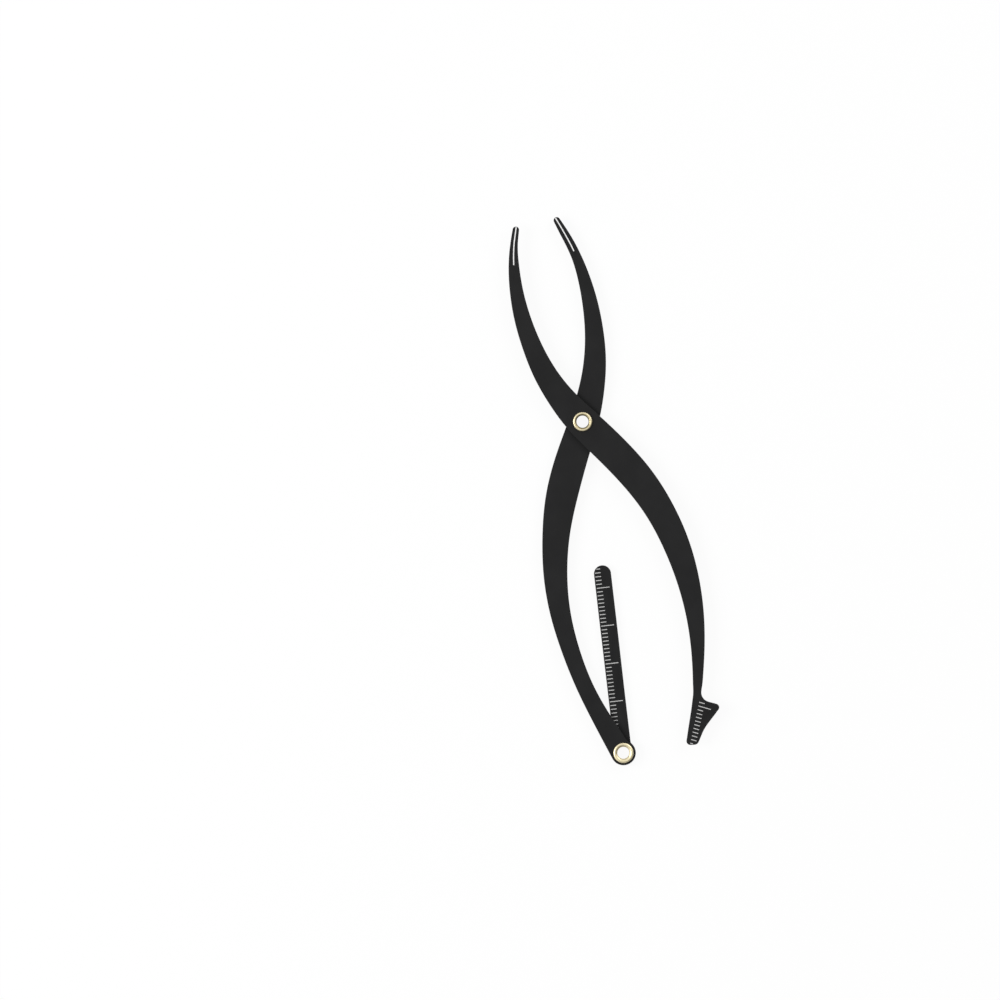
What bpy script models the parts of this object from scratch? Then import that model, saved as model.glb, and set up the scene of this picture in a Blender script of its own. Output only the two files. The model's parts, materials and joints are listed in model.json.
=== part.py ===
"""Eyebrow mapping ruler: a golden-ratio divider of two crossed flat arms with a swinging scale blade.

The divider lies on its back, front face up, with its two fine tips towards +Y. Each arm runs along a
straight line through the pivot, from its tip to its working end below, and is drawn on that line:
x is the offset from it and y the place along it, with the pivot at zero. The lower reach is the upper
one times the golden ratio, so the lower ends open 1.618 times as wide as the tips.
"""
import math

import bmesh
import bpy
import numpy as np
from mathutils import Vector

# Reach of the two arms from the pivot
UPPER_REACH = 0.0541
GOLDEN_RATIO_SHARE = (1 + math.sqrt(5)) / 2
LOWER_REACH = UPPER_REACH * GOLDEN_RATIO_SHARE

# How far the divider and its blade are swung at rest
HALF_OPENING = math.radians(5.96)
BLADE_SWING = math.radians(-0.4)

# Plates, the play between their faces, and the play round a barrel
PLATE_THICKNESS = 0.0010
EDGE_EASE = 0.00012
RUNNING_GAP = 0.00015
BARREL_PLAY = 0.00010

# Upper half of both arms: bow of the outer edge off the arm's line, width where the arms part, and the tip
UPPER_BOW = 0.0086
UPPER_WIDTH = 0.0072
TIP_RADIUS = 0.00085
TIP_OFFSET = -0.0002
TIP_LEAN = math.radians(25)

# Lower half of each arm: bow of the outer edge and full width below the pivot
FRONT_BOW = 0.0162
FRONT_WIDTH = 0.0095
REAR_BOW = 0.0150
REAR_WIDTH = 0.0090

# Rows of (share of the reach, bow of the outer edge, width back to the inner edge)
FRONT_UPPER_SHARES = (
    (0.92, 0.350, 0.302),
    (0.82, 0.612, 0.401),
    (0.70, 0.823, 0.496),
    (0.56, 0.965, 0.605),
    (0.42, 1.002, 0.709),
    (0.28, 0.957, 0.850),
    (0.15, 0.808, 1.024),
)
REAR_UPPER_SHARES = (
    (0.92, 0.292, 0.330),
    (0.82, 0.545, 0.364),
    (0.70, 0.760, 0.447),
    (0.56, 0.916, 0.570),
    (0.42, 0.975, 0.686),
    (0.28, 0.939, 0.828),
    (0.15, 0.794, 0.976),
)
FRONT_SHARES = (
    (0.00, 0.291, 0.967),
    (0.10, 0.570, 1.009),
    (0.20, 0.792, 0.946),
    (0.32, 0.948, 0.819),
    (0.44, 1.004, 0.728),
    (0.56, 0.959, 0.611),
    (0.68, 0.821, 0.477),
    (0.80, 0.594, 0.340),
)
REAR_SHARES = (
    (0.00, 0.267, 0.937),
    (0.10, 0.558, 1.011),
    (0.20, 0.783, 0.984),
    (0.32, 0.936, 0.824),
    (0.44, 1.004, 0.700),
    (0.56, 0.974, 0.598),
    (0.68, 0.849, 0.526),
    (0.80, 0.660, 0.516),
    (0.90, 0.455, 0.564),
)

# Foot of the front arm, drawn on its own straight scale edge from the corner upwards
FOOT_OVERREACH = 0.0015
FOOT_OFFSET = 0.00193
FOOT_LEAN = math.radians(27.15)
FOOT_LENGTH = 0.0124
EDGE_RISE = 0.0009
NECK_RISE = 0.0045
NECK_WIDTH = 0.0020
HEEL_WIDTH = 0.0030
HEEL_RISE = 0.0006
SHIN_WIDTH = 0.00418
SHIN_HEIGHT = 0.0051
TOE_REACH = 0.0078
TOE_DROP = 0.0007
CORNER_RADIUS = 0.0010
HEEL_RADIUS = 0.0012
SHIN_RADIUS = 0.0120
TOE_RADIUS = 0.00095
INSTEP_RADIUS = 0.0029

# Round boss that the rear arm and the blade share, and the angles where the rear arm's edges meet it
BOSS_RIM = 0.00058
BOSS_OUTER_ANGLE = math.radians(-22)
BOSS_INNER_ANGLE = math.radians(117)

# Scale blade, measured from its eyelet to its round end
BLADE_LENGTH = 0.0495
BLADE_WIDTH = 0.00447
BLADE_FILLET = 0.0006

# Hollow rivets: a barrel with a rolled flange in front and a clenched curl behind
BORE_RADIUS = 0.0016
BARREL_WALL = 0.00028
PIVOT_FLANGE_WIDTH = 0.00067
SCALE_FLANGE_WIDTH = 0.00079
FLANGE_HEIGHT = 0.00045
CURL_WIDTH = 0.00062
CURL_HEIGHT = 0.00040

# Engraved marks: millimetre scales on the blade and the foot, and a sighting line on each tip
MARK_PITCH = 0.0010
MARK_WIDTH = 0.00022
MARK_DEPTH = 0.00006
SHORT_MARK = 0.0015
LONG_MARK = 0.0034
BLADE_FIRST_MARK = 0.00085
BLADE_MARK_INSET = 0.00028
BLADE_LONG_MARKS = (5, 15, 25, 35)
FOOT_FIRST_MARK = 0.0007
FOOT_MARK_INSET = 0.00106
FOOT_ROW_LEAN = math.radians(4)
FOOT_MARK_LEAN = math.radians(8)
FOOT_LONG_MARKS = (10,)
TIP_LINE_LENGTH = 0.0092
TIP_LINE_WIDTH = 0.0003
TIP_LINE_INSET = 0.00015

# Facets of round stretches, and how far every cutter runs past the face that it cuts
EDGE_STEPS = 44
LINE_STATIONS = 5
LINE_STEPS = 12
CORNER_STEPS = 6
ROUND_STEPS = 48
LIP_STEPS = 8
CUT_OVERRUN = 0.0005

# Faces that meet at more than this stay sharp when the rest is shaded smooth
SHARP_ANGLE = math.radians(30)

# Heights of the stack, from the curl that the divider lies on
BLADE_Z = CURL_HEIGHT + RUNNING_GAP
REAR_ARM_Z = BLADE_Z + PLATE_THICKNESS + RUNNING_GAP
FRONT_ARM_Z = REAR_ARM_Z + PLATE_THICKNESS + RUNNING_GAP

# Radii of the rivets and of what they pass through or clamp
BARREL_RADIUS = BORE_RADIUS + BARREL_WALL
HOLE_RADIUS = BARREL_RADIUS + BARREL_PLAY
PIVOT_FLANGE_RADIUS = BARREL_RADIUS + PIVOT_FLANGE_WIDTH
SCALE_FLANGE_RADIUS = BARREL_RADIUS + SCALE_FLANGE_WIDTH
CURL_RADIUS = BARREL_RADIUS + CURL_WIDTH
BOSS_RADIUS = SCALE_FLANGE_RADIUS + BOSS_RIM


def clear_scene():
    for item in list(bpy.data.objects):
        bpy.data.objects.remove(item)


def surface(name, colour, roughness, metallic):
    """A plain surface for one sub-part."""
    material = bpy.data.materials.new(name)
    material.use_nodes = True
    shader = material.node_tree.nodes["Principled BSDF"]
    shader.inputs["Base Color"].default_value = (*colour, 1)
    shader.inputs["Roughness"].default_value = roughness
    shader.inputs["Metallic"].default_value = metallic
    return material


def black_anodising(name):
    return surface(name + "_black", (0.024, 0.024, 0.025), 0.5, 0.3)


def brass(name):
    return surface(name + "_brass", (0.84, 0.73, 0.46), 0.25, 1.0)


def link(name, mesh, material=None):
    """Puts a finished mesh into the scene as an object."""
    mesh.normal_update()
    data = bpy.data.meshes.new(name)
    mesh.to_mesh(data)
    mesh.free()
    data.shade_smooth()
    data.set_sharp_from_angle(angle=SHARP_ANGLE)
    item = bpy.data.objects.new(name, data)
    bpy.context.scene.collection.objects.link(item)
    if material:
        data.materials.append(material)
    return item


def arc(centre, radius, start, end, steps):
    """Points on a circle from one angle to another, both ends included."""
    angles = np.linspace(start, end, steps + 1)
    return [centre + Vector((math.cos(a), math.sin(a))) * radius for a in angles]


def rounded(before, corner, after, radius):
    """The arc that rounds one corner of an outline, no longer than half of each side."""
    back = (before - corner).normalized()
    ahead = (after - corner).normalized()
    half = back.angle(ahead) / 2
    setback = min(radius / math.tan(half), (before - corner).length / 2, (after - corner).length / 2)
    radius = setback * math.tan(half)
    centre = corner + (back + ahead).normalized() * (radius / math.sin(half))
    first = corner + back * setback - centre
    last = corner + ahead * setback - centre
    start = math.atan2(first.y, first.x)
    turn = math.remainder(math.atan2(last.y, last.x) - start, math.tau)
    return arc(centre, radius, start, start + turn, CORNER_STEPS)


def smooth_edge(stations, steps=EDGE_STEPS):
    """A natural cubic curve through stations of (place along, offset), sampled evenly along."""
    along, offset = np.array(stations).T
    step = np.diff(along)
    slope = np.diff(offset) / step
    system = np.eye(len(along))
    target = np.zeros(len(along))
    for i in range(1, len(along) - 1):
        system[i, i - 1:i + 2] = step[i - 1], 2 * (step[i - 1] + step[i]), step[i]
        target[i] = 6 * (slope[i] - slope[i - 1])
    bend = np.linalg.solve(system, target)
    points = []
    for place in np.linspace(along[0], along[-1], steps + 1):
        i = min(np.count_nonzero(along[1:] >= place), len(step) - 1)
        near, far = place - along[i], along[i + 1] - place
        cubic = (bend[i] * far ** 3 + bend[i + 1] * near ** 3) / (6 * step[i])
        start = (offset[i] / step[i] - bend[i] * step[i] / 6) * far
        end = (offset[i + 1] / step[i] - bend[i + 1] * step[i] / 6) * near
        points.append(Vector((cubic + start + end, place)))
    return points


def stack(mesh, outline, low, high):
    """Adds a prism: an outline, drawn anticlockwise, between two heights."""
    bottom = [mesh.verts.new((*point, low)) for point in outline]
    top = [mesh.verts.new((*point, high)) for point in outline]
    mesh.faces.new(bottom[::-1])
    mesh.faces.new(top)
    for i, corner in enumerate(bottom):
        mesh.faces.new((bottom[i - 1], corner, top[i], top[i - 1]))


def plate(name, outline, cuts):
    """A flat black plate with eased rims, cut by prisms of (outline, low, high)."""
    mesh = bmesh.new()
    stack(mesh, outline, 0, PLATE_THICKNESS)
    mesh.normal_update()
    rims = [edge for face in mesh.faces if len(face.verts) == len(outline) for edge in face.edges]
    bmesh.ops.bevel(mesh, geom=rims, offset=EDGE_EASE, segments=1, profile=0.5, affect="EDGES")
    item = link(name, mesh, black_anodising(name))
    cutter_mesh = bmesh.new()
    for cut in cuts:
        stack(cutter_mesh, *cut)
    cutter = link(name + "_cutter", cutter_mesh)
    cutter.parent = item
    cutter.hide_render = True
    cutter.display_type = "WIRE"
    boolean = item.modifiers.new("Cuts", "BOOLEAN")
    boolean.operation = "DIFFERENCE"
    boolean.solver = "EXACT"
    boolean.object = cutter
    return item


def eyelet_hole(centre):
    circle = arc(centre, HOLE_RADIUS, 0, math.tau, ROUND_STEPS)[:-1]
    return circle, -CUT_OVERRUN, PLATE_THICKNESS + CUT_OVERRUN


def groove(outline):
    return outline, PLATE_THICKNESS - MARK_DEPTH, PLATE_THICKNESS + CUT_OVERRUN


def mark(start, direction, length):
    """One engraved mark that runs from its start in a unit direction."""
    side = Vector((-direction.y, direction.x)) * (MARK_WIDTH / 2)
    end = start + direction * length
    return groove([start - side, end - side, end + side, start + side])


def tip_centre():
    return Vector((TIP_OFFSET, UPPER_REACH - TIP_RADIUS))


def tip_edges(side, shares):
    """Upper stations of the outer and inner edge, from the round tip down, and the tip's arc.

    Side is -1 where the upper half bows to -X, and +1 for the mirrored arm."""
    centre = tip_centre()
    normal = Vector((side * math.cos(TIP_LEAN), math.sin(TIP_LEAN)))
    first = centre + normal * TIP_RADIUS
    last = centre - normal * TIP_RADIUS
    outer = [(first.y, first.x)]
    inner = [(last.y, last.x)]
    for reach_share, bow_share, width_share in shares:
        place = UPPER_REACH * reach_share
        offset = UPPER_BOW * bow_share
        outer.append((place, side * offset))
        inner.append((place, side * (offset - UPPER_WIDTH * width_share)))
    turn = math.atan2(normal.y, normal.x)
    cap = arc(centre, TIP_RADIUS, turn, turn + side * math.pi, CORNER_STEPS * 2)
    return outer, inner, cap


def lower_edges(side, shares, bow, width):
    """Lower stations of the outer and inner edge, which bow to the other side than the upper half."""
    outer = [(-LOWER_REACH * row[0], -side * bow * row[1]) for row in shares]
    inner = [(-LOWER_REACH * row[0], -side * (bow * row[1] - width * row[2])) for row in shares]
    return outer, inner


def tip_line(side, left_edge, right_edge):
    """Groove from an arm's round tip down the middle between its two edges."""
    centre = tip_centre()
    lean = Vector((-side * math.sin(TIP_LEAN), math.cos(TIP_LEAN)))
    top = centre + lean * (TIP_RADIUS - TIP_LINE_INSET)
    places = np.linspace(centre.y, top.y - TIP_LINE_LENGTH, LINE_STATIONS + 1)[1:]
    left = np.array([(point.y, point.x) for point in left_edge])[::-1]
    right = np.array([(point.y, point.x) for point in right_edge])[::-1]
    middle = (np.interp(places, *left.T) + np.interp(places, *right.T)) / 2
    line = smooth_edge([(top.y, top.x), (centre.y, centre.x), *zip(places, middle)], LINE_STEPS)
    return groove(band(line, TIP_LINE_WIDTH))


def band(points, width):
    """The outline, anticlockwise, of a band of even width along a row of points that runs down."""
    steps = [after - before for before, after in zip([points[0], *points], [*points[1:], points[-1]])]
    sides = [Vector((-step.y, step.x)).normalized() * (width / 2) for step in steps]
    left = [point - side for point, side in zip(points, sides)]
    right = [point + side for point, side in zip(points, sides)]
    return left + right[::-1]


def foot_point(width, height):
    """A point of the foot, from its scale edge and its corner, on the front arm's line."""
    corner = Vector((-FOOT_OFFSET, -LOWER_REACH - FOOT_OVERREACH))
    up = Vector((math.sin(FOOT_LEAN), math.cos(FOOT_LEAN)))
    across = Vector((up.y, -up.x))
    return corner + across * width + up * height


def foot_outline():
    """The foot, anticlockwise from the top of its scale edge to the right of its neck."""
    edge_top = foot_point(0, FOOT_LENGTH + EDGE_RISE)
    corner = foot_point(0, 0)
    heel = foot_point(HEEL_WIDTH, HEEL_RISE)
    shin = foot_point(SHIN_WIDTH, SHIN_HEIGHT)
    toe = foot_point(TOE_REACH, FOOT_LENGTH - TOE_DROP)
    instep = foot_point(NECK_WIDTH, FOOT_LENGTH)
    neck = foot_point(NECK_WIDTH, FOOT_LENGTH + NECK_RISE)
    points = rounded(edge_top, corner, heel, CORNER_RADIUS)
    points += rounded(corner, heel, shin, HEEL_RADIUS)
    points += rounded(heel, shin, toe, SHIN_RADIUS)
    points += rounded(shin, toe, instep, TOE_RADIUS)
    points += rounded(toe, instep, neck, INSTEP_RADIUS)
    return points


def foot_marks():
    """Millimetre marks in a row beside the foot's scale edge; the lowest is cut short by the corner."""
    origin = foot_point(FOOT_MARK_INSET, FOOT_FIRST_MARK)
    row_lean = FOOT_LEAN + FOOT_ROW_LEAN
    mark_lean = FOOT_LEAN + FOOT_MARK_LEAN
    up = Vector((math.sin(row_lean), math.cos(row_lean)))
    across = Vector((math.cos(mark_lean), -math.sin(mark_lean)))
    marks = [mark(origin, across, SHORT_MARK / 2)]
    for i in range(1, int((FOOT_LENGTH - FOOT_FIRST_MARK) / MARK_PITCH) + 1):
        length = LONG_MARK if i in FOOT_LONG_MARKS else SHORT_MARK
        marks.append(mark(origin + up * (MARK_PITCH * i), across, length))
    return marks


def front_arm():
    """Arm from the left tip over the pivot to the small foot scale on the right."""
    upper_outer, upper_inner, cap = tip_edges(-1, FRONT_UPPER_SHARES)
    lower_outer, lower_inner = lower_edges(-1, FRONT_SHARES, FRONT_BOW, FRONT_WIDTH)
    edge_top = foot_point(0, FOOT_LENGTH + EDGE_RISE)
    neck = foot_point(NECK_WIDTH, FOOT_LENGTH + NECK_RISE)
    left = smooth_edge(upper_outer + lower_inner + [(edge_top.y, edge_top.x)])
    right = smooth_edge(upper_inner + lower_outer + [(neck.y, neck.x)])
    outline = left + foot_outline() + right[::-1] + cap[-2:0:-1]
    cuts = [eyelet_hole(Vector((0, 0))), tip_line(-1, left, right), *foot_marks()]
    return plate("front_arm", outline, cuts)


def rear_arm():
    """Arm from the right tip over the pivot to the boss on the left that carries the blade."""
    upper_outer, upper_inner, cap = tip_edges(1, REAR_UPPER_SHARES)
    lower_outer, lower_inner = lower_edges(1, REAR_SHARES, REAR_BOW, REAR_WIDTH)
    boss = Vector((0, -LOWER_REACH))
    ring = arc(boss, BOSS_RADIUS, math.pi - BOSS_OUTER_ANGLE, math.tau + math.pi - BOSS_INNER_ANGLE,
               ROUND_STEPS // 2)
    left = smooth_edge(upper_inner + lower_outer + [(ring[0].y, ring[0].x)])
    right = smooth_edge(upper_outer + lower_inner[:-1] + [(ring[-1].y, ring[-1].x)])
    outline = left + ring[1:-1] + right[::-1] + cap[1:-1]
    cuts = [eyelet_hole(Vector((0, 0))), eyelet_hole(boss), tip_line(1, left, right)]
    return plate("rear_arm", outline, cuts)


def blade_outline():
    """A round boss on the eyelet, a straight blade and a round far end."""
    half = BLADE_WIDTH / 2
    shoulder = math.sqrt((BOSS_RADIUS + BLADE_FILLET) ** 2 - (half + BLADE_FILLET) ** 2)
    lean = math.atan2(shoulder, half + BLADE_FILLET)
    boss = arc(Vector((0, 0)), BOSS_RADIUS, math.pi - lean, math.tau + lean, ROUND_STEPS // 2)
    right = Vector((half + BLADE_FILLET, shoulder))
    left = Vector((-half - BLADE_FILLET, shoulder))
    right_fillet = arc(right, BLADE_FILLET, math.pi + lean, math.pi, CORNER_STEPS // 2)
    left_fillet = arc(left, BLADE_FILLET, 0, -lean, CORNER_STEPS // 2)
    end = arc(Vector((0, BLADE_LENGTH - half)), half, 0, math.pi, ROUND_STEPS // 2)
    return boss + right_fillet[1:] + end + left_fillet[:-1]


def blade_marks():
    """Millimetre marks along the blade's left edge, down to its boss."""
    start = Vector((BLADE_MARK_INSET - BLADE_WIDTH / 2, BLADE_LENGTH - BLADE_FIRST_MARK))
    count = int((start.y - BOSS_RADIUS) / MARK_PITCH)
    marks = []
    for i in range(count):
        length = LONG_MARK if i in BLADE_LONG_MARKS else SHORT_MARK
        inset = end_inset(start.y - MARK_PITCH * i)
        marks.append(mark(start + Vector((inset, -MARK_PITCH * i)), Vector((1, 0)), length - inset))
    return marks


def end_inset(height):
    """How much later a mark starts beside the blade's round end."""
    half = BLADE_WIDTH / 2
    rise = max(height - (BLADE_LENGTH - half), 0)
    return half - math.sqrt(half ** 2 - rise ** 2)


def scale_blade():
    cuts = [eyelet_hole(Vector((0, 0))), *blade_marks()]
    return plate("scale_blade", blade_outline(), cuts)


def lip(radius, height, level):
    """Half an ellipse from the barrel's bore out to a rim: the rolled end of an eyelet."""
    middle = (BORE_RADIUS + radius) / 2
    reach = (radius - BORE_RADIUS) / 2
    angles = np.linspace(math.pi, 0, LIP_STEPS + 1)
    return [(middle + reach * math.cos(a), level + height * math.sin(a)) for a in angles]


def eyelet(name, flange_radius, flange_z, curl_z):
    """A hollow rivet turned about its axis: flange seated at one height, curl at the other."""
    profile = lip(flange_radius, FLANGE_HEIGHT, flange_z)
    profile += [(BARREL_RADIUS, flange_z), (BARREL_RADIUS, curl_z)]
    profile += lip(CURL_RADIUS, -CURL_HEIGHT, curl_z)[::-1]
    mesh = bmesh.new()
    ring = [mesh.verts.new((radius, 0, height)) for radius, height in profile]
    edges = [mesh.edges.new((ring[i - 1], corner)) for i, corner in enumerate(ring)]
    bmesh.ops.spin(mesh, geom=ring + edges, cent=(0, 0, 0), axis=(0, 0, 1), dvec=(0, 0, 0),
                   angle=math.tau, steps=ROUND_STEPS, use_merge=True, use_duplicate=False)
    bmesh.ops.recalc_face_normals(mesh, faces=mesh.faces)
    return link(name, mesh, brass(name))


def corners_in_world(items):
    bpy.context.view_layer.update()
    return np.array([item.matrix_world @ vertex.co for item in items for vertex in item.data.vertices])


def assemble():
    """Stacks the pieces on the pivot and stands the whole on its origin, centred."""
    assembly = bpy.data.objects.new("assembly", None)
    bpy.context.scene.collection.objects.link(assembly)
    front = front_arm()
    rear = rear_arm()
    blade = scale_blade()
    front_seat = FRONT_ARM_Z + PLATE_THICKNESS + RUNNING_GAP
    rear_seat = REAR_ARM_Z + PLATE_THICKNESS + RUNNING_GAP
    pivot = eyelet("pivot_eyelet", PIVOT_FLANGE_RADIUS, front_seat, REAR_ARM_Z - RUNNING_GAP)
    scale = eyelet("scale_eyelet", SCALE_FLANGE_RADIUS, rear_seat, BLADE_Z - RUNNING_GAP)
    for item in (front, rear, pivot):
        item.parent = assembly
    for item in (blade, scale):
        item.parent = rear
        item.location = (0, -LOWER_REACH, 0)
    front.location.z = FRONT_ARM_Z
    front.rotation_euler.z = HALF_OPENING
    rear.location.z = REAR_ARM_Z
    rear.rotation_euler.z = -HALF_OPENING
    blade.location.z = BLADE_Z - REAR_ARM_Z
    blade.rotation_euler.z = BLADE_SWING
    scale.location.z = -REAR_ARM_Z
    corners = corners_in_world((front, rear, blade, pivot, scale))
    middle = (corners.min(axis=0) + corners.max(axis=0)) / 2
    assembly.location = (-middle[0], -middle[1], -corners[:, 2].min())


clear_scene()
assemble()
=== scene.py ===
"""Looks of the eyebrow mapping ruler: matte black plates, white scale marks and gold-coloured brass rivets.

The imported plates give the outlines, the holes and the grooves. Each plate is drawn again with a smooth
outline and rounded rims, and its marks are a white filling in the grooves. The rivets are turned again
with finer lips.
"""
import json
import math

import bmesh
import bpy
import numpy as np
from mathutils import Matrix, Vector


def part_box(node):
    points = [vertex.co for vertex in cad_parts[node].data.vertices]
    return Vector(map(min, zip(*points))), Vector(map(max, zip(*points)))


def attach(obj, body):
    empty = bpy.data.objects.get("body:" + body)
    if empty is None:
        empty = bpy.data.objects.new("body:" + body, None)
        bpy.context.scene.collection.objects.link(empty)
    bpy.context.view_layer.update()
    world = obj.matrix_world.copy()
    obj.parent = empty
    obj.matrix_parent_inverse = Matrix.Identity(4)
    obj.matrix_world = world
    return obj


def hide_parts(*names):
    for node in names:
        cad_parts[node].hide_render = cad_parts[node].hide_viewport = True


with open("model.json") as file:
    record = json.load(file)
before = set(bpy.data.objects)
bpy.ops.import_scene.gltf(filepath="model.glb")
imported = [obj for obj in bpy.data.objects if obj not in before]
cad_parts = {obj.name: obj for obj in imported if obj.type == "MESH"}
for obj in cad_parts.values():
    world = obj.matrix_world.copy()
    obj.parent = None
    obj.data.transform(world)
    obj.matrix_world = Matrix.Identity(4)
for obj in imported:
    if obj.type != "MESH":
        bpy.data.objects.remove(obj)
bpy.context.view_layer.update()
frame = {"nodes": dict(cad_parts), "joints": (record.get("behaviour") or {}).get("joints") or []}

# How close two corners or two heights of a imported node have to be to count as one, the digits that a
# radius is rounded to, and the angle from which its faces meet at a crease
WELD = 0.000001
LEVEL = 0.00002
RADIUS_DIGITS = 6
CREASE_ANGLE = math.radians(5)

# Fine surface: steps per packed stretch of an outline, and facets of rims, holes, turned forms and lips
OUTLINE_STEPS = 3
RIM_SEGMENTS = 3
HOLE_STEPS = 96
TURN_STEPS = 144
LIP_STEPS = 12

# Round section of a plate's rim, place of the crest across a rivet's lip, the share of a groove's depth that
# its filling takes, the length past which a mark is a sighting line, and the overrun of every cutter
RIM_PROFILE = 0.5
CREST_SHARE = 0.62
INK_SHARE = 0.8
LONGEST_SCALE_MARK = 0.006
CUT_OVERRUN = 0.0005

# Faces that meet at more than this stay sharp when the rest is shaded smooth
SHARP_ANGLE = math.radians(35)

# The photograph: its size and the place of the pivot in pixels, pixels per metre, and how far the ruler
# leans to the left. The camera: its height over the pivot, and the width of its sensor in millimetres
FRAME_SIZE = 1000
PIVOT_PIXEL = Vector((582.5, 421.7))
PIXELS_PER_METRE = 3812
LEAN = math.radians(13)
CAMERA_HEIGHT = 2.0
SENSOR_WIDTH = 36

# Colours
BLACK = (0.012, 0.012, 0.0123)
BLACK_LIGHTER = (0.015, 0.015, 0.0153)
BLACK_RUBBED = (0.028, 0.0275, 0.027)
WHITE = (0.92, 0.92, 0.91)
WHITE_DULL = (0.80, 0.80, 0.79)
CHALK = (0.62, 0.62, 0.61)
CHALK_DULL = (0.42, 0.42, 0.41)
BRASS = (0.82, 0.73, 0.485)
BRASS_DULL = (0.58, 0.49, 0.28)
# Painted shade: the dark colour the rivets' throats take towards the bore
BRASS_THROAT_SHADE = (0.25, 0.21, 0.105)
PAPER = (0.96, 0.96, 0.96)

# Sizes of surface detail, the height of its relief, and how many finer layers its noise has
GRAIN_WIDTH = 0.00009
GRAIN_LENGTH = 0.006
MOTTLE_SIZE = 0.007
WEAR_SIZE = 0.004
SPECKLE_SIZE = 0.00008
TARNISH_SIZE = 0.0012
POLISH_WIDTH = 0.00006
RELIEF = 0.000004
NOISE_DETAIL = 3
LINE_DETAIL = 1

# Where on the noise's scale from 0 to 1 each detail starts and is full
MOTTLE_BAND = (0.35, 0.65)
WEAR_BAND = (0.42, 0.66)
SPECKLE_BAND = (0.35, 0.6)
TARNISH_BAND = (0.4, 0.7)
ROUGHNESS_BAND = (0.3, 0.7)

# Finish: roughness from the smoothest to the roughest place, gloss, strength of the relief, the most wear
# and tarnish, where along a rivet's inner slope the throat, fully darkened by painted shade, ends, and how
# much tarnish and painted throat shade each rivet has
COAT_ROUGHNESS = (0.46, 0.60)
PAINT_ROUGHNESS = (0.75, 0.9)
BRASS_ROUGHNESS = (0.3, 0.42)
COAT_GLOSS = 0.12
PAINT_GLOSS = 0.3
COAT_RELIEF = 0.3
PAINT_RELIEF = 0.6
BRASS_RELIEF = 0.3
MOST_WEAR = 0.6
MOST_TARNISH = 0.35
THROAT_SHADE_SHARE = 0.4
# Tarnish and painted throat shade of each rivet: full on the pivot rivet, light on the scale rivet
PIVOT_TARNISH_AND_SHADE = 1.0
SCALE_TARNISH_AND_SHADE = 0.15

# Upward part of a surface's direction where the rounded rim meets the face and the wall
FACE_SLOPES = (0.98, 0.85)
WALL_SLOPES = (0.10, 0.30)

# Stage: a white floor, seen mostly by its own glow, and a white sky. In reflections the sky turns grey
# towards one side, over a band of nearness to that side
FLOOR_SIZE = 6.0
FLOOR_GLOW_SHARE = 0.92
SKY_LIGHT = 0.55
GREY_SIDE = (1.0, -1.0, 0.0)
GREY_BAND = (-0.1, 0.8)
GREY_LEVEL = 0.15

# Lamps: their sides are shares of the photograph's right, its up and the way towards the viewer
LAMP_REACH = 1.0
SOFTBOX_SIZE = 0.5
KEY_SIDE = (-1.0, 0.0, 0.9)
KEY_POWER = 5.0
FILL_SIDE = (0.9, 0.7, 1.0)
FILL_POWER = 2.2


def welded(node):
    """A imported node's mesh with its split corners joined."""
    mesh = bmesh.new()
    mesh.from_mesh(frame["nodes"][node].data)
    bmesh.ops.remove_doubles(mesh, verts=mesh.verts, dist=WELD)
    mesh.normal_update()
    return mesh


def heights(mesh):
    """The distinct heights of a plate's corners, lowest first."""
    levels = []
    for height in sorted(vertex.co.z for vertex in mesh.verts):
        if not levels or height - levels[-1] > LEVEL:
            levels.append(height)
    return levels


def rings(mesh, height):
    """Closed anticlockwise loops along the creases at one height, with the one of most points last."""
    near = {}
    for edge in mesh.edges:
        level = all(abs(vertex.co.z - height) < LEVEL for vertex in edge.verts)
        if level and edge.calc_face_angle(0) > CREASE_ANGLE:
            for vertex in edge.verts:
                near.setdefault(vertex, []).append(edge.other_vert(vertex))
    loops = []
    while near:
        step = next(iter(near))
        loop = []
        while step:
            loop.append(step.co.xy)
            step = next((vertex for vertex in near.pop(step) if vertex in near), None)
        area = sum(loop[i - 1].cross(point) for i, point in enumerate(loop))
        loops.append(loop if area > 0 else loop[::-1])
    return sorted(loops, key=len)


def between(first, second, start, end, place):
    """The point for a place on the line through two points, which lie at a start and an end place."""
    return first.lerp(second, (place - start) / (end - start))


def smoothed(points):
    """A closed curve through the points, with more of them. Its knots are spaced by the root of each
    stretch, so that it stays tame where short and long stretches meet."""
    curve = []
    for i in range(len(points)):
        near = [points[(i + k) % len(points)] for k in (-1, 0, 1, 2)]
        knots = [0]
        for a, b in zip(near, near[1:]):
            knots.append(knots[-1] + math.sqrt((b - a).length))
        for place in np.linspace(knots[1], knots[2], OUTLINE_STEPS, endpoint=False):
            lines = [between(near[k], near[k + 1], knots[k], knots[k + 1], place) for k in range(3)]
            bows = [between(lines[k], lines[k + 1], knots[k], knots[k + 2], place) for k in range(2)]
            curve.append(between(*bows, knots[1], knots[2], place))
    return curve


def fine_circle(loop):
    """The circle through a coarse round loop, with more points."""
    centre = sum(loop, Vector((0, 0))) / len(loop)
    radius = (loop[0] - centre).length
    angles = np.linspace(0, math.tau, HOLE_STEPS, endpoint=False)
    return [centre + Vector((math.cos(a), math.sin(a))) * radius for a in angles]


def stack(mesh, outline, low, high):
    """Adds a prism: an outline, drawn anticlockwise, between two heights."""
    bottom = [mesh.verts.new((*point, low)) for point in outline]
    top = [mesh.verts.new((*point, high)) for point in outline]
    mesh.faces.new(bottom[::-1])
    mesh.faces.new(top)
    for i, corner in enumerate(bottom):
        mesh.faces.new((bottom[i - 1], corner, top[i], top[i - 1]))


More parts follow.
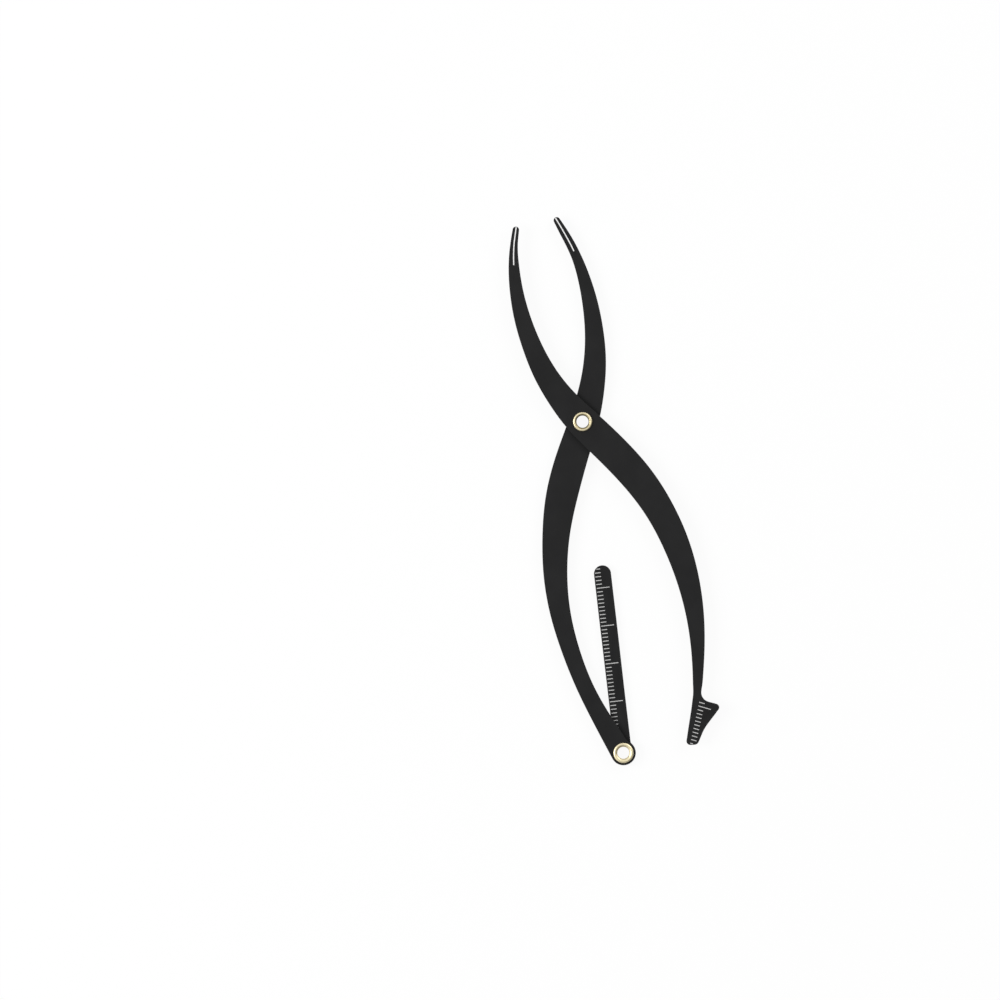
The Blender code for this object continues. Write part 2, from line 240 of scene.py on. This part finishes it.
def piece(name, mesh, material=None):
    """An object from a finished mesh, shaded smooth except where it is creased."""
    data = bpy.data.meshes.new(name)
    mesh.to_mesh(data)
    mesh.free()
    data.shade_smooth()
    data.set_sharp_from_angle(angle=SHARP_ANGLE)
    made = bpy.data.objects.new(name, data)
    bpy.context.scene.collection.objects.link(made)
    if material:
        data.materials.append(material)
    return made


def applied(item):
    """Bakes an object's modifiers into its mesh."""
    graph = bpy.context.evaluated_depsgraph_get()
    data = bpy.data.meshes.new_from_object(item.evaluated_get(graph))
    item.modifiers.clear()
    item.data = data


def grain_turn(outline):
    """The angle of an outline's longest direction from +Y."""
    points = np.array(outline)
    along = np.linalg.svd(points - points.mean(axis=0), full_matrices=False)[2][0]
    along = along * np.sign(along[1])
    return -math.atan2(along[0], along[1])


def reach(loop):
    """The largest distance between two corners of a loop."""
    return max((first - second).length for first in loop for second in loop)


def blank(node, outline, low, high, ease):
    """A plate before its holes and grooves are cut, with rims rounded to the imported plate's ease."""
    points = smoothed(outline)
    mesh = bmesh.new()
    stack(mesh, points, low, high)
    mesh.normal_update()
    edges = [edge for face in mesh.faces if len(face.verts) == len(points) for edge in face.edges]
    bmesh.ops.bevel(mesh, geom=edges, offset=ease, segments=RIM_SEGMENTS, profile=RIM_PROFILE,
                    affect="EDGES")
    return piece(node + "_plate", mesh, black_coating(node + "_coating", grain_turn(outline)))


def cut(plate, mesh):
    """Cuts prisms out of a plate, and keeps its flat faces flat in the shading."""
    cutter = piece(plate.name + "_cutter", mesh)
    boolean = plate.modifiers.new("Cuts", "BOOLEAN")
    boolean.object = cutter
    weighted = plate.modifiers.new("Flat faces", "WEIGHTED_NORMAL")
    weighted.keep_sharp = True
    applied(plate)
    bpy.data.objects.remove(cutter)


def fine_plate(node, body):
    """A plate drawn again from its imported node, with the filling of its marks."""
    source = welded(node)
    levels = heights(source)
    low, high, floor = levels[0], levels[-1], levels[-2]
    outline = rings(source, levels[1])[-1]
    holes = rings(source, low)[:-1]
    grooves = rings(source, floor)
    source.free()

    plate = blank(node, outline, low, high, levels[1] - low)
    cuts, scale, line = bmesh.new(), bmesh.new(), bmesh.new()
    for hole in holes:
        stack(cuts, fine_circle(hole), low - CUT_OVERRUN, high + CUT_OVERRUN)
    for groove in grooves:
        stack(cuts, groove, floor, high + CUT_OVERRUN)
        filling = line if reach(groove) > LONGEST_SCALE_MARK else scale
        stack(filling, groove, floor, floor + (high - floor) * INK_SHARE)
    cut(plate, cuts)

    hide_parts(node)
    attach(plate, body)
    fill_marks(node + "_marks", scale, CHALK_DULL, CHALK, body)
    fill_marks(node + "_line", line, WHITE_DULL, WHITE, body)


def fill_marks(name, mesh, dull, bright, body):
    """Filling of one kind of mark, where a plate has any."""
    if not mesh.verts:
        mesh.free()
        return
    marks = piece(name, mesh, white_filling(name + "_paint", dull, bright))
    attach(marks, body)


def crest_radius(bore, rim):
    """Where a rivet's rolled end is highest: it slopes wide towards the bore and rolls tight to the rim."""
    return bore + (rim - bore) * CREST_SHARE


def lip(bore, rim, seat, crest):
    """Two quarter ellipses, from the bore up to the crest of a rivet's rolled end and down to its rim."""
    top = crest_radius(bore, rim)
    inner = [(top + (top - bore) * math.cos(a), seat + (crest - seat) * math.sin(a))
             for a in np.linspace(math.pi, math.pi / 2, LIP_STEPS + 1)]
    outer = [(top + (rim - top) * math.cos(a), seat + (crest - seat) * math.sin(a))
             for a in np.linspace(math.pi / 2, 0, LIP_STEPS + 1)]
    return inner + outer[1:]


def rivet_profile(node):
    """The centre, the bore, the flange and the turned profile of a packed rivet, with finer lips."""
    low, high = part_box(node)
    centre = (low + high) / 2
    source = welded(node)
    section = []
    for vertex in source.verts:
        radius = (vertex.co.xy - centre.xy).length
        section.append((round(radius, RADIUS_DIGITS), vertex.co.z))
    source.free()
    bore = min(section)[0]
    flange, seat = max(point for point in section if point[1] > centre.z)
    curl, back_seat = max(point for point in section if point[1] < centre.z)
    barrel = min(radius for radius, height in section
                 if abs(height - seat) < LEVEL and radius > bore + LEVEL)
    profile = lip(bore, flange, seat, high.z)
    profile += [(barrel, seat), (barrel, back_seat)]
    profile += lip(bore, curl, back_seat, low.z)[::-1]
    return centre, bore, flange, profile


def fine_rivet(node, body, tarnish_and_shade):
    """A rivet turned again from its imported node, with its origin on its axis."""
    centre, bore, flange, profile = rivet_profile(node)
    mesh = bmesh.new()
    corners = [mesh.verts.new((radius, 0, height)) for radius, height in profile]
    edges = [mesh.edges.new((corners[i - 1], corner)) for i, corner in enumerate(corners)]
    bmesh.ops.spin(mesh, geom=corners + edges, cent=(0, 0, 0), axis=(0, 0, 1), dvec=(0, 0, 0),
                   angle=math.tau, steps=TURN_STEPS, use_merge=True, use_duplicate=False)
    bmesh.ops.recalc_face_normals(mesh, faces=mesh.faces)
    rivet = piece(node + "_turned", mesh, polished_brass(node + "_brass", bore, flange, tarnish_and_shade))
    rivet.location = (*centre.xy, 0)
    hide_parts(node)
    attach(rivet, body)


def shader_node(tree, kind, inputs, **settings):
    """A shader node with its settings. Its inputs are values or other nodes' outputs."""
    made = tree.nodes.new("ShaderNode" + kind)
    for name, value in settings.items():
        setattr(made, name, value)
    for name, value in inputs.items():
        if isinstance(value, bpy.types.NodeSocket):
            tree.links.new(value, made.inputs[name])
        else:
            made.inputs[name].default_value = value
    return made


def noise(tree, size, turn=0):
    """Noise in a piece's own coordinates, with a feature size along each axis, turned about +Z."""
    place = shader_node(tree, "TexCoord", {}).outputs["Object"]
    inputs = {"Vector": place, "Rotation": (0, 0, turn), "Scale": size}
    mapped = shader_node(tree, "Mapping", inputs, vector_type="TEXTURE").outputs["Vector"]
    inputs = {"Vector": mapped, "Scale": 1, "Detail": NOISE_DETAIL}
    return shader_node(tree, "TexNoise", inputs).outputs["Fac"]


def spread(tree, value, start, end, low, high):
    """Maps a value from one range to another, and stops at its ends."""
    inputs = {"Value": value, "From Min": start, "From Max": end, "To Min": low, "To Max": high}
    return shader_node(tree, "MapRange", inputs).outputs["Result"]


def joined(tree, operation, first, second):
    """The product, the larger one or another joining of two values."""
    made = shader_node(tree, "Math", {}, operation=operation)
    tree.links.new(first, made.inputs[0])
    tree.links.new(second, made.inputs[1])
    return made.outputs["Value"]


def mixed(tree, factor, first, second):
    """A colour between two others."""
    inputs = {"Fac": factor, "Color1": first, "Color2": second}
    return shader_node(tree, "MixRGB", inputs).outputs["Color"]


def relief(tree, height, strength):
    inputs = {"Height": height, "Strength": strength, "Distance": RELIEF}
    return shader_node(tree, "Bump", inputs).outputs["Normal"]


def surface(name, **inputs):
    """A new material, and its shader with the inputs that are the same all over."""
    material = bpy.data.materials.new(name)
    material.use_nodes = True
    shader = material.node_tree.nodes["Principled BSDF"]
    for key, value in inputs.items():
        shader.inputs[key.replace("_", " ")].default_value = value
    return material, material.node_tree, shader


def rims(tree):
    """One on a plate's rounded rims, and zero on its faces and its walls."""
    normal = shader_node(tree, "TexCoord", {}).outputs["Normal"]
    upward = shader_node(tree, "SeparateXYZ", {"Vector": normal}).outputs["Z"]
    steep = shader_node(tree, "Math", {}, operation="ABSOLUTE")
    tree.links.new(upward, steep.inputs[0])
    off_face = spread(tree, steep.outputs["Value"], *FACE_SLOPES, 0, 1)
    off_wall = spread(tree, steep.outputs["Value"], *WALL_SLOPES, 0, 1)
    return joined(tree, "MULTIPLY", off_face, off_wall)


def black_coating(name, turn):
    """Matte black coating over brushed metal: faint mottling, fine grain along the plate, rubbed rims."""
    material, tree, shader = surface(name, Specular_IOR_Level=COAT_GLOSS)
    grain = noise(tree, (GRAIN_WIDTH, GRAIN_LENGTH, GRAIN_WIDTH), turn)
    mottle = noise(tree, [MOTTLE_SIZE] * 3)
    patches = noise(tree, [WEAR_SIZE] * 3)
    coat = mixed(tree, spread(tree, mottle, *MOTTLE_BAND, 0, 1), (*BLACK, 1), (*BLACK_LIGHTER, 1))
    wear = joined(tree, "MULTIPLY", rims(tree), spread(tree, patches, *WEAR_BAND, 0, MOST_WEAR))
    tree.links.new(mixed(tree, wear, coat, (*BLACK_RUBBED, 1)), shader.inputs["Base Color"])
    tree.links.new(spread(tree, grain, *ROUGHNESS_BAND, *COAT_ROUGHNESS), shader.inputs["Roughness"])
    tree.links.new(relief(tree, grain, COAT_RELIEF), shader.inputs["Normal"])
    return material


def white_filling(name, dull, bright):
    """Chalky marks with the fine speckle of a laser's dots."""
    material, tree, shader = surface(name, Specular_IOR_Level=PAINT_GLOSS)
    speckle = noise(tree, [SPECKLE_SIZE] * 3)
    tone = mixed(tree, spread(tree, speckle, *SPECKLE_BAND, 0, 1), (*dull, 1), (*bright, 1))
    tree.links.new(tone, shader.inputs["Base Color"])
    tree.links.new(spread(tree, speckle, *ROUGHNESS_BAND, *PAINT_ROUGHNESS), shader.inputs["Roughness"])
    tree.links.new(relief(tree, speckle, PAINT_RELIEF), shader.inputs["Normal"])
    return material


def polished_brass(name, bore, flange, tarnish_and_shade):
    """Brass with fine polishing lines about its axis, with tarnish, and with painted shade darkening its
    throat towards the bore, both scaled per rivet.
    """
    material, tree, shader = surface(name, Metallic=1)
    place = shader_node(tree, "TexCoord", {}).outputs["Object"]
    flat = shader_node(tree, "Mapping", {"Vector": place, "Scale": (1, 1, 0)}).outputs["Vector"]
    radius = shader_node(tree, "VectorMath", {"Vector": flat}, operation="LENGTH").outputs["Value"]
    turns = spread(tree, radius, 0, flange, 0, flange / POLISH_WIDTH)
    inputs = {"W": turns, "Scale": 1, "Detail": LINE_DETAIL}
    lines = shader_node(tree, "TexNoise", inputs, noise_dimensions="1D").outputs["Fac"]
    blotches = noise(tree, [TARNISH_SIZE] * 3)
    tarnish = spread(tree, blotches, *TARNISH_BAND, 0, MOST_TARNISH * tarnish_and_shade)
    tone = mixed(tree, tarnish, (*BRASS, 1), (*BRASS_DULL, 1))
    crest = crest_radius(bore, flange)
    # Painted shade: the inner slope darkens towards the bore, scaled by the rivet's share of tarnish and
    # shade
    throat_shade = spread(tree, radius, bore + (crest - bore) * THROAT_SHADE_SHARE, crest, tarnish_and_shade, 0)
    tree.links.new(mixed(tree, throat_shade, tone, (*BRASS_THROAT_SHADE, 1)), shader.inputs["Base Color"])
    tree.links.new(spread(tree, lines, *ROUGHNESS_BAND, *BRASS_ROUGHNESS), shader.inputs["Roughness"])
    tree.links.new(relief(tree, lines, BRASS_RELIEF), shader.inputs["Normal"])
    return material


def seen_rays(tree, share):
    """A share for what the camera, a reflection or clear glass sees, and zero for light on the object."""
    rays = shader_node(tree, "LightPath", {}).outputs
    most = rays["Is Camera Ray"]
    for kind in ("Is Glossy Ray", "Is Transmission Ray"):
        most = joined(tree, "MAXIMUM", most, rays[kind])
    return spread(tree, most, 0, 1, 0, share)


def white_floor():
    """A pale sheet that looks white and keeps a soft shadow of the object."""
    mesh = bmesh.new()
    bmesh.ops.create_grid(mesh, x_segments=1, y_segments=1, size=FLOOR_SIZE / 2)
    material = bpy.data.materials.new("floor_paper")
    material.use_nodes = True
    tree = material.node_tree
    tree.nodes.clear()
    paper = shader_node(tree, "BsdfDiffuse", {"Color": (*PAPER, 1)}).outputs["BSDF"]
    glow = shader_node(tree, "Emission", {"Color": (1, 1, 1, 1), "Strength": 1}).outputs["Emission"]
    blend = shader_node(tree, "MixShader", {"Fac": seen_rays(tree, FLOOR_GLOW_SHARE)})
    tree.links.new(paper, blend.inputs[1])
    tree.links.new(glow, blend.inputs[2])
    shader_node(tree, "OutputMaterial", {"Surface": blend.outputs["Shader"]})
    piece("floor", mesh, material)


def greyer_side(tree):
    """Brightness of the sky in a reflection: white, and grey towards the photograph's lower right."""
    towards = shader_node(tree, "TexCoord", {}).outputs["Generated"]
    side = shader_node(tree, "VectorMath", {}, operation="DOT_PRODUCT")
    tree.links.new(towards, side.inputs[0])
    side.inputs[1].default_value = photo_direction(GREY_SIDE)
    return spread(tree, side.outputs["Value"], *GREY_BAND, 1, GREY_LEVEL)


def background(tree, strength):
    """White light from the sky, of a strength that is a number or another node's output."""
    inputs = {"Color": (1, 1, 1, 1), "Strength": strength}
    return shader_node(tree, "Background", inputs).outputs["Background"]


def white_world():
    """White where it is seen, softer as light on the object, and with a greyer side in reflections."""
    world = bpy.data.worlds.new("studio")
    bpy.context.scene.world = world
    world.use_nodes = True
    tree = world.node_tree
    tree.nodes.clear()
    light = background(tree, SKY_LIGHT)
    camera = shader_node(tree, "LightPath", {}).outputs["Is Camera Ray"]
    seen = background(tree, joined(tree, "MAXIMUM", camera, greyer_side(tree)))
    blend = shader_node(tree, "MixShader", {"Fac": seen_rays(tree, 1)})
    tree.links.new(light, blend.inputs[1])
    tree.links.new(seen, blend.inputs[2])
    shader_node(tree, "OutputWorld", {"Surface": blend.outputs["Shader"]})


def photo_axes():
    """The photograph's right and up as directions in the frame."""
    turn = Matrix.Rotation(-LEAN, 3, "Z")
    return turn @ Vector((1, 0, 0)), turn @ Vector((0, 1, 0))


def photo_direction(side):
    """A direction in the frame from its shares of the photograph's right, up and towards the viewer."""
    right_axis, up_axis = photo_axes()
    right, up, out = side
    return (right_axis * right + up_axis * up + Vector((0, 0, out))).normalized()


def softbox(name, side, power):
    """A square area lamp that faces the object from one side."""
    direction = photo_direction(side)
    lamp = bpy.data.lights.new(name, "AREA")
    lamp.size = SOFTBOX_SIZE
    lamp.energy = power
    item = bpy.data.objects.new(name, lamp)
    item.location = direction * LAMP_REACH
    item.rotation_euler = direction.to_track_quat("Z", "Y").to_euler()
    bpy.context.scene.collection.objects.link(item)


def photo_camera():
    """A long lens straight above the object, which leans in the frame as it does in the photograph."""
    right_axis, up_axis = photo_axes()
    pivot = Vector(next(joint for joint in frame["joints"] if joint["name"] == "arm_pivot")["pos_m"])
    offset = (Vector((FRAME_SIZE / 2, FRAME_SIZE / 2)) - PIVOT_PIXEL) / PIXELS_PER_METRE
    lens = bpy.data.cameras.new("photo_camera")
    lens.sensor_width = SENSOR_WIDTH
    lens.lens = SENSOR_WIDTH * CAMERA_HEIGHT * PIXELS_PER_METRE / FRAME_SIZE
    item = bpy.data.objects.new("photo_camera", lens)
    item.location = pivot + right_axis * offset.x - up_axis * offset.y + Vector((0, 0, CAMERA_HEIGHT))
    item.rotation_euler = (0, 0, -LEAN)
    bpy.context.scene.collection.objects.link(item)
    bpy.context.scene.camera = item


for name in ("front_arm", "rear_arm", "scale_blade"):
    fine_plate(name, name)
fine_rivet("pivot_eyelet", "rear_arm", PIVOT_TARNISH_AND_SHADE)
fine_rivet("scale_eyelet", "rear_arm", SCALE_TARNISH_AND_SHADE)
white_floor()
white_world()
softbox("key", KEY_SIDE, KEY_POWER)
softbox("fill", FILL_SIDE, FILL_POWER)
photo_camera()
bpy.context.scene.view_settings.view_transform = "Standard"
